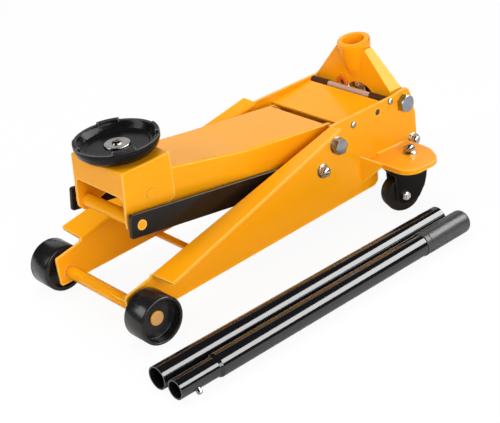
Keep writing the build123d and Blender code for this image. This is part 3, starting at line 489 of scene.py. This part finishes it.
def cutWith(piece, cutter):
    # takes the cutter's shape out of a piece for good
    data = bpy.data.meshes.new("cutter")
    cutter.to_mesh(data)
    cutter.free()
    tool = bpy.data.objects.new("cutter", data)
    scene.collection.objects.link(tool)
    recess = piece.modifiers.new("recess", "BOOLEAN")
    recess.object = tool
    recess.solver = "EXACT"
    recess.use_self = True
    evaluated = piece.evaluated_get(bpy.context.evaluated_depsgraph_get())
    result = bpy.data.meshes.new_from_object(evaluated)
    piece.modifiers.clear()
    piece.data = result
    piece.data.set_sharp_from_angle(angle=math.radians(sharpAngle))
    bpy.data.objects.remove(tool)
    bpy.data.meshes.remove(data)


def screwOutline(screw, top, seat, foot):
    radius, shank = screw["radius"], screw["shank"]
    crown = [(radius * share, top - drop) for share, drop in screw["crown"]]
    return [(0, top), *crown, (radius, seat + screw["rim"]), (radius - screw["undercut"], seat),
            (shank, seat), (shank, foot), (0, foot)]


def crossCutter(place, screw, top):
    # two crossed bars that sink into a screw's head and stand 1 mm out of it
    low, high = top - screw["slotDepth"], top + 1
    cutter = bmesh.new()
    for turn in (0, math.pi / 2):
        bar = bmesh.new()
        size = Matrix.Diagonal((screw["slotLength"], screw["slotWidth"], high - low, 1))
        lift = Matrix.Translation((0, 0, (low + high) / 2))
        bmesh.ops.create_cube(bar, size=1.0, matrix=Matrix.Rotation(turn, 4, "Z") @ lift @ size)
        joinInto(cutter, bar, place)
    return cutter


eye = {"side": -24.0, "lift": 17.5, "hole": 5.0, "steps": 40, "sharp": 50, "floor": 3.0,
       "floorThick": 0.4, "floorGap": 0.02, "floorSides": 32, "floorEdge": 0.1,
       "section": ((5.0, -2.0), (5.0, 0.2), (6.2, 0.4), (10.6, 0.4), (12.2, -0.6), (12.2, -2.4),
                   (11.0, -2.4), (5.0, -2.0))}  # (radius, height) points round the ring


def addEye():
    # ring and floor of the eye in the yoke's front; the ring is painted darker as shade and the floor is a dark
    # disc of painted shadow
    pivot = Vector(jointNamed("handle_pump")["pos_m"])
    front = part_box("yoke_sheet")[0].y
    centre = Vector((jackMiddle + eye["side"] / 1000, front, pivot.z + eye["lift"] / 1000))
    place = standOn(centre, Vector((0, -1, 0)))
    ring = bmesh.new()
    turned(ring, eye["section"], eye["steps"])
    ring.transform(place)
    addPiece("eyeRing", "yoke", "eyePaint", ring, sharp=eye["sharp"])
    floor = bmesh.new()
    prism(floor, eye["floorSides"], eye["hole"] - eye["floorGap"],
          -eye["floor"] - eye["floorThick"], -eye["floor"], eye["floorEdge"])
    floor.transform(place)
    addPiece("eyeFloor", "yoke", "plugRubber", floor)


holeShadeDisc = {"radius": 5.15, "sides": 32, "face": -1.2, "foot": -2.4, "edge": 0.3,
            "ahead": 28.6, "below": 7.2, "rake": 2.9}  # from the tie rod, along the raked plate


def addHoleShade():
    # dark discs in the plain holes of the side plates, painted shadow in the holes
    rod = middleOf("tie_rod")
    rake = math.radians(holeShadeDisc["rake"])
    ahead, below = holeShadeDisc["ahead"] / 1000, holeShadeDisc["below"] / 1000
    y = rod.y - ahead * math.cos(rake) + below * math.sin(rake)
    z = rod.z - ahead * math.sin(rake) - below * math.cos(rake)
    shadeDiscs = bmesh.new()
    for side in (-1, 1):
        shadeDisc = bmesh.new()
        prism(shadeDisc, holeShadeDisc["sides"], holeShadeDisc["radius"], holeShadeDisc["foot"], holeShadeDisc["face"],
              holeShadeDisc["edge"])
        joinInto(shadeDiscs, shadeDisc, outward(Vector((jackMiddle + side * plateFace, y, z))))
    addPiece("holeShadeDiscs", "chassis", "plugRubber", shadeDiscs)


pinRing = {"radius": 8.9, "wire": 0.35, "wireSides": 8, "steps": 40, "sunk": 0.5, "sharp": 60}


def addPinRings():
    # fine seams round the riveted ends of the saddle pin
    centre = middleOf("saddle_pin")
    radius, wire, sides = (pinRing[key] for key in ("radius", "wire", "wireSides"))
    angles = [a * math.tau / sides for a in range(sides + 1)]
    section = [(radius + wire * math.cos(angle), wire * math.sin(angle)) for angle in angles]
    rings = bmesh.new()
    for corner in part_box("saddle_pin"):
        ring = bmesh.new()
        turned(ring, section, pinRing["steps"])
        face = abs(corner.x - centre.x) - pinRing["sunk"] / 1000
        joinInto(rings, ring, outward(Vector((corner.x, centre.y, centre.z)), face))
    addPiece("pinRings", "bracket", "seam", rings, sharp=pinRing["sharp"])


axleEnd = {"radius": 9.4, "sides": 40, "rise": 0.12, "sunk": 1.0, "edge": 0.05}


def addAxleEnds():
    # worn, thinly painted ends of the front axle
    centre = middleOf("front_axle")
    ends = bmesh.new()
    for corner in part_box("front_axle"):
        disc = bmesh.new()
        prism(disc, axleEnd["sides"], axleEnd["radius"], -axleEnd["sunk"], axleEnd["rise"],
              axleEnd["edge"])
        face = abs(corner.x - jackMiddle)
        joinInto(ends, disc, outward(Vector((corner.x, centre.y, centre.z)), face))
    addPiece("axleEnds", "chassis", "axleEnd", ends)


panScrew = {"radius": 5.5, "height": 3.4, "crown": ((0.4, 0.1), (0.74, 0.75), (0.94, 1.9)),
            "rim": 0.5, "undercut": 0.1, "shank": 2.9, "length": 8.0, "steps": 40,
            "slotLength": 6.4, "slotWidth": 1.5, "slotDepth": 1.7}


def addPanScrews():
    # cross-recess screws of the lid and the tie rod
    heads, cutter = bmesh.new(), bmesh.new()
    height = panScrew["height"]
    for low, high in islands("frame_screws"):
        place = outward((low + high) / 2)
        head = bmesh.new()
        turned(head, screwOutline(panScrew, height, 0, -panScrew["length"]), panScrew["steps"])
        joinInto(heads, head, place)
        joinInto(cutter, crossCutter(place, panScrew, height), Matrix.Identity(4))
    piece = addPiece("panScrews", "chassis", "zincPlate", heads, "frame_screws")
    cutWith(piece, cutter)


def capNut(nut, washer, corner, dome, twist=0.0):
    # washer, hexagon and dome of a closed nut, the dome sunk 1 mm into the hexagon
    mesh = bmesh.new()
    turned(mesh, washer)
    prism(mesh, hexagon, corner, nut["washerTop"], nut["nutTop"], nut["edge"], twist)
    rounding = arc(dome, nut["domeTop"] - nut["nutTop"], nut["domeSteps"], nut["nutTop"])
    turned(mesh, rounding + [(dome, nut["nutTop"] - 1), (0, nut["nutTop"] - 1)])
    return mesh


domeNut = {"frontAcross": 18.0, "rearAcross": 17.0, "washerShare": 0.64, "domeShare": 0.43,
           "washerTop": 1.6, "washerEdge": 0.3, "underEdge": (0.2, 0.3), "nutTop": 8.0,
           "domeTop": 13.0, "domeSteps": 7, "edge": 0.5}


def addDomeNuts():
    # link bolts in front, rear stay behind
    boxes = islands("dome_nuts")
    middle = sum((low.y + high.y) / 2 for low, high in boxes) / len(boxes)
    nuts = bmesh.new()
    for low, high in boxes:
        across = domeNut["frontAcross"] if high.y < middle else domeNut["rearAcross"]
        radius = across * domeNut["washerShare"]
        inset, rise = domeNut["underEdge"]
        washer = washerOutline(radius, domeNut["washerTop"], domeNut["washerEdge"],
                               [(radius, rise), (radius - inset, 0)])
        nut = capNut(domeNut, washer, cornerRadius(across), across * domeNut["domeShare"],
                     halfFlat)
        joinInto(nuts, nut, outward((low + high) / 2))
    addPiece("domeNuts", "chassis", "zincPlate", nuts, "dome_nuts")


pivotNut = {"across": 24.0, "cornerShare": 0.97, "washer": 13.5, "washerTop": 1.6,
            "washerEdge": 0.3, "steps": 56, "top": 12.5, "edge": 0.9}


def addPivotNuts():
    # plain hexagon nuts on the lift pivot
    corner = cornerRadius(pivotNut["across"]) * pivotNut["cornerShare"]
    nuts = bmesh.new()
    for low, high in islands("lift_shaft_nuts"):
        nut = bmesh.new()
        turned(nut, washerOutline(pivotNut["washer"], pivotNut["washerTop"],
                                  pivotNut["washerEdge"]), pivotNut["steps"])
        prism(nut, hexagon, corner, pivotNut["washerTop"], pivotNut["top"], pivotNut["edge"],
              halfFlat)
        joinInto(nuts, nut, outward((low + high) / 2))
    addPiece("pivotNuts", "chassis", "zincBrushed", nuts, "lift_shaft_nuts")


studNut = {"washer": 11.5, "washerTop": 2.5, "washerEdge": 0.4, "corner": 9.8, "nutTop": 9.3,
           "dome": 7.0, "domeTop": 14.5, "domeSteps": 7, "edge": 0.5}


def addStudNuts():
    # dome nuts that hold the casters' studs on the wings
    nuts = bmesh.new()
    for low, high in islands("caster_stud_nuts"):
        washer = washerOutline(studNut["washer"], studNut["washerTop"], studNut["washerEdge"])
        centre = (low + high) / 2
        foot = Matrix.Translation((centre.x, centre.y, low.z))
        joinInto(nuts, capNut(studNut, washer, studNut["corner"], studNut["dome"]),
                 foot @ millimetres)
    addPiece("studNuts", "chassis", "zincPlate", nuts, "caster_stud_nuts")


saddleBolt = {"radius": 7.0, "height": 3.4, "crown": ((0.45, 0.1), (0.8, 0.9)), "rim": 1.1,
              "undercut": 0, "shank": 4.2, "slotLength": 8.4, "slotWidth": 1.8, "slotDepth": 1.8,
              "below": 0.25}


def addSaddleBolt():
    # cross-recess screw in the saddle's middle, leaning with the saddle
    joint = jointNamed("saddle_turn")
    axis, foot = Vector(joint["axis"]), Vector(joint["pos_m"])
    low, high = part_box("saddle_screw")
    place = standOn(foot + axis * (((low + high) / 2) - foot).dot(axis), axis)
    top = (high - low).z * 500 - saddleBolt["below"]  # half the node's height
    head = bmesh.new()
    turned(head, screwOutline(saddleBolt, top, top - saddleBolt["height"], -top))
    head.transform(place)
    piece = addPiece("saddleBolt", "saddle", "zincPlate", head, "saddle_screw")
    cutWith(piece, crossCutter(place, saddleBolt, top))


pumpCoil = {"radius": 9.3, "wire": 1.15, "wireSides": 10, "turns": 5, "turnSteps": 30,
            "ends": 1.1, "sharp": 60, "kept": 0.385}


def addPumpCoil():
    # round wire coils between the barrel's collar and the plunger's cap
    low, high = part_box("pump_spring")
    axis = -Vector(jointNamed("plunger_press")["axis"])
    centre = (low + high) / 2
    length = (high.z - low.z) * 1000 - 2 * pumpCoil["wire"] - pumpCoil["ends"]
    coil = bmesh.new()
    foot = Matrix.Translation((pumpCoil["radius"], 0, -length / 2))
    ring = bmesh.ops.create_circle(coil, segments=pumpCoil["wireSides"], radius=pumpCoil["wire"],
                                   matrix=foot @ Matrix.Rotation(math.pi / 2, 4, "X"))
    edges = eachOnce(edge for vert in ring["verts"] for edge in vert.link_edges)
    steps = pumpCoil["turns"] * pumpCoil["turnSteps"]
    bmesh.ops.spin(coil, geom=ring["verts"] + edges, axis=(0, 0, 1), cent=(0, 0, 0),
                   dvec=(0, 0, length / steps), angle=math.tau * pumpCoil["turns"], steps=steps)
    bmesh.ops.holes_fill(coil, edges=[e for e in coil.edges if e.is_boundary], sides=0)
    coil.transform(standOn(centre, axis))
    piece = addPiece("pumpCoil", "chassis", "springSteel", coil, "pump_spring",
                     sharp=pumpCoil["sharp"])
    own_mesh(piece)


gripSleeve = {"radius": 18.2, "length": 100.0, "round": 7.0, "roundSteps": 6, "bore": 17.05,
              "endWall": 5, "steps": 64, "lean": 1.6, "inside": 0.1,
              # inset and height of the collar's outline, from the mouth
              "mouth": ((0, 11), (0.9, 10.2), (0.9, 9), (0, 8.2), (0, 1), (0.8, 0))}


def addGrip():
    # moulded sleeve with a rounded end and a low collar at its mouth
    radius, length, bow = (gripSleeve[key] for key in ("radius", "length", "round"))
    low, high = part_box("handle_grip")
    lean = math.radians(gripSleeve["lean"])
    centre = (low + high) / 2
    end = Vector((centre.x - math.sin(lean) * length / 2000,
                  high.y - math.sin(lean) * radius / 1000 - gripSleeve["inside"] / 1000,
                  centre.z))
    corner = [(radius - bow + across, height) for across, height in
              arc(bow, bow, gripSleeve["roundSteps"], -bow)]
    mouth = [(radius - inset, height - length) for inset, height in gripSleeve["mouth"]]
    bore, wall = gripSleeve["bore"], -gripSleeve["endWall"]
    sleeve = bmesh.new()
    turned(sleeve, [(0, 0), *corner, *mouth, (bore, -length), (bore, wall), (0, wall)],
           gripSleeve["steps"])
    sleeve.transform(standOn(end, Vector((-math.sin(lean), math.cos(lean), 0))))
    addPiece("gripSleeve", "handle_upper", "moulded", sleeve, "handle_grip")


snapPin = {"radius": 4.0, "half": 6.3, "crown": 2.6, "crownSteps": 6, "flange": 5.2,
           "flangeThick": 1.5, "steps": 32, "out": 1.4}


def addSnapPin():
    # round-headed button, set slightly out from the solid's middle
    axis = Vector(jointNamed("button_press")["axis"])
    radius, half, crown, flange = (snapPin[key] for key in ("radius", "half", "crown", "flange"))
    shoulder = snapPin["flangeThick"] - half
    top = arc(radius, crown, snapPin["crownSteps"], half - crown)
    pin = bmesh.new()
    turned(pin, [*top, (radius, shoulder), (flange, shoulder), (flange, -half), (0, -half)],
           snapPin["steps"])
    pin.transform(standOn(middleOf("snap_button") + axis * (snapPin["out"] / 1000), axis))
    addPiece("snapPin", "snap_button", "zincPlate", pin, "snap_button")


valveKnuckle = {"radius": 8.5, "grooves": 24, "depth": 0.5, "height": 16.0, "edge": 0.9,
                "stem": 5.0, "foot": 57.4, "steps": 32, "slotWidth": 3.0, "slotLength": 30,
                "slotDepth": 3, "below": 0.5}


def addKnuckle():
    # knurled, slotted head of the release valve
    radius, grooves, height = (valveKnuckle[key] for key in ("radius", "grooves", "height"))
    joint = jointNamed("release_turn")
    axis, foot = Vector(joint["axis"]), Vector(joint["pos_m"])
    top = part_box("release_knuckle")[1].z - foot.z - valveKnuckle["below"] / 1000
    place = standOn(foot + axis * top, axis)
    head = bmesh.new()
    ring = bmesh.ops.create_cone(head, cap_ends=True, segments=2 * grooves, radius1=radius,
                                 radius2=radius, depth=height,
                                 matrix=Matrix.Translation((0, 0, -height / 2)))
    for vert in ring["verts"]:
        flute = round(math.atan2(vert.co.y, vert.co.x) / math.tau * 2 * grooves)
        if flute % 2:
            vert.co.xy *= 1 - valveKnuckle["depth"] / radius
    caps = [face for face in head.faces if len(face.verts) > 4]
    bevelEdges(head, (edge for cap in caps for edge in cap.edges), valveKnuckle["edge"])
    stem, base = valveKnuckle["stem"], -valveKnuckle["foot"]
    turned(head, [(0, 1 - height), (stem, 1 - height), (stem, base), (0, base)],
           valveKnuckle["steps"])
    head.transform(place)
    piece = addPiece("valveKnuckle", "release_valve", "brassTurned", head, "release_knuckle")
    width, length, depth = (valveKnuckle[key] for key in ("slotWidth", "slotLength", "slotDepth"))
    size = Matrix.Diagonal((width, length, 2 * depth, 1))
    cutter = bmesh.new()
    bmesh.ops.create_cube(cutter, size=1.0, matrix=place @ size)
    cutWith(piece, cutter)


for addDetail in (addEye, addHoleShade, addPinRings, addAxleEnds, addPanScrews, addDomeNuts,
                  addPivotNuts, addStudNuts, addSaddleBolt, addPumpCoil, addGrip, addSnapPin,
                  addKnuckle):
    addDetail()
print("stage: fasteners, spring, grip and valve head")

edgeStyle = {"weld": 0.00002, "angle": 38}
edgeRounds = {"side_plate_left": 0.8, "side_plate_right": 0.8, "lift_arm": 1.5,
              "saddle_bracket": 1.5, "top_cover": 0.7, "yoke_sheet": 0.8, "handle_socket": 0.9,
              "link_bars": 0.8, "saddle": 0.9, "saddle_washer": 0.4, "yoke_bolts": 0.6,
              "power_block": 1.2, "caster_fork_left": 0.7, "caster_fork_right": 0.7,
              "caster_axle_left": 0.4, "caster_axle_right": 0.4, "front_axle": 0.5,
              "front_wheel_left": 0.8, "front_wheel_right": 0.8, "caster_wheel_left": 0.8,
              "caster_wheel_right": 0.8, "front_brace": 0.4, "block_plugs": 0.4,
              "pump_plunger": 0.4}  # millimetres


def roundEdges(nodeName, size):
    # pressed sheets and castings catch light along their edges
    obj = nodes[nodeName]
    weld = obj.modifiers.new("weld", "WELD")
    weld.merge_threshold = edgeStyle["weld"]
    bevel = obj.modifiers.new("edge", "BEVEL")
    bevel.width = size / 1000
    bevel.segments = bevelSteps
    bevel.limit_method = "ANGLE"
    bevel.angle_limit = math.radians(edgeStyle["angle"])
    bevel.use_clamp_overlap = True
    bevel.harden_normals = True


for nodeName, size in edgeRounds.items():
    roundEdges(nodeName, size)
print("stage: rounded edges on", len(edgeRounds), "nodes")

cameraView = {"place": (1.38135, -1.10347, 0.9523), "azimuth": 51.5, "elevation": 26.36,
              "roll": -6.53, "lens": 94.54, "sensor": 36}


def addCamera():
    turn, lift, roll = (math.radians(cameraView[key]) for key in ("azimuth", "elevation", "roll"))
    right = Vector((math.cos(turn), math.sin(turn), 0))
    back = Vector((math.sin(turn) * math.cos(lift), -math.cos(turn) * math.cos(lift),
                   math.sin(lift)))
    up = back.cross(right)
    tiltedRight = right * math.cos(roll) + up * math.sin(roll)
    tiltedUp = up * math.cos(roll) - right * math.sin(roll)
    data = bpy.data.cameras.new("camera")
    data.lens = cameraView["lens"]
    data.sensor_width = cameraView["sensor"]
    camera = bpy.data.objects.new("camera", data)
    scene.collection.objects.link(camera)
    axes = Matrix((tiltedRight, tiltedUp, back)).transposed().to_4x4()
    camera.matrix_world = Matrix.Translation(Vector(cameraView["place"])) @ axes
    scene.camera = camera


softboxes = {
    "overhead": {"place": (-0.3, 0.2, 2.2), "aim": (0, 0, 0), "size": (1.6, 2.6), "power": 36,
                 "diffuseOnly": True},
    "frontLeft": {"place": (-0.9, -2.0, 1.5), "aim": (0, 0, 0.1), "size": (1.2, 1.2),
                  "power": 26},
    "cameraSide": {"place": (2.3, -0.5, 1.0), "aim": (0, 0, 0.1), "size": (1.6, 1.2),
                   "power": 46},
    "streak": {"place": (1.22, 1.14, 1.2), "aim": (0.15, 0.0, 0), "size": (2.4, 0.95),
               "power": 88, "glossOnly": True},
    "farWall": {"place": (-1.7, 1.35, 1.1), "aim": (0, 0, 0.1), "size": (2.4, 1.6), "power": 9},
}


def addSoftbox(name, box):
    data = bpy.data.lights.new(name, "AREA")
    data.shape = "RECTANGLE"
    data.size, data.size_y = box["size"]
    data.energy = box["power"]
    light = bpy.data.objects.new(name, data)
    scene.collection.objects.link(light)
    light.location = box["place"]
    light.visible_diffuse = not box.get("glossOnly", False)
    light.visible_glossy = not box.get("diffuseOnly", False)
    away = Vector(box["place"]) - Vector(box["aim"])
    light.rotation_euler = away.to_track_quat("Z", "Y").to_euler()


studio = {"floorHalf": 8.0, "floorDrop": 0.0004, "floorTone": 0.9, "floorRoughness": 0.9,
          "cameraWhite": 0.93, "backdrop": 0.96, "fill": 0.09, "glossyFill": 0.0061}


def addFloor():
    # white sweep that the camera sees nearly unshaded, so only soft shadows show
    half = studio["floorHalf"]
    corners = [(-half, -half, 0), (half, -half, 0), (half, half, 0), (-half, half, 0)]
    mesh = bpy.data.meshes.new("floor")
    mesh.from_pydata(corners, [], [(0, 1, 2, 3)])
    floor = bpy.data.objects.new("floor", mesh)
    scene.collection.objects.link(floor)
    floor.location.z = -studio["floorDrop"]
    material, tree, shader = newMaterial("floorWhite")
    feed(tree, shader, {"Base Color": opaque([studio["floorTone"]] * 3),
                        "Roughness": studio["floorRoughness"]})
    glow = addNode(tree, "ShaderNodeEmission", (-200, 200))
    paths = addNode(tree, "ShaderNodeLightPath", (-600, 300))
    share = calculate(tree, (-400, 300), "MULTIPLY", paths.outputs["Is Camera Ray"],
                      studio["cameraWhite"])
    surface = addNode(tree, "ShaderNodeMixShader", (100, 200),
                      {"Fac": share, 1: shader.outputs["BSDF"], 2: glow.outputs["Emission"]})
    feed(tree, tree.nodes["Material Output"], {"Surface": surface.outputs["Shader"]})
    floor.data.materials.append(material)


def addWorld():
    # white where the camera looks, and much weaker as light and in mirrors
    world = bpy.data.worlds.new("studio")
    world.use_nodes = True
    scene.world = world
    tree = world.node_tree
    paths = addNode(tree, "ShaderNodeLightPath", (-800, 0))
    strength = remap(tree, (-500, 0), paths.outputs["Is Camera Ray"], (0.0, 1.0),
                     (studio["fill"], studio["backdrop"]))
    mirrored = addNode(tree, "ShaderNodeMix", (-250, 0),
                       {0: paths.outputs["Is Glossy Ray"], 2: strength, 3: studio["glossyFill"]},
                       data_type="FLOAT")
    feed(tree, tree.nodes["Background"], {"Color": (1, 1, 1, 1), "Strength": mirrored.outputs[0]})


addCamera()
for boxName, boxSettings in softboxes.items():
    addSoftbox(boxName, boxSettings)
addFloor()
addWorld()
print("stage: camera, lights and floor")
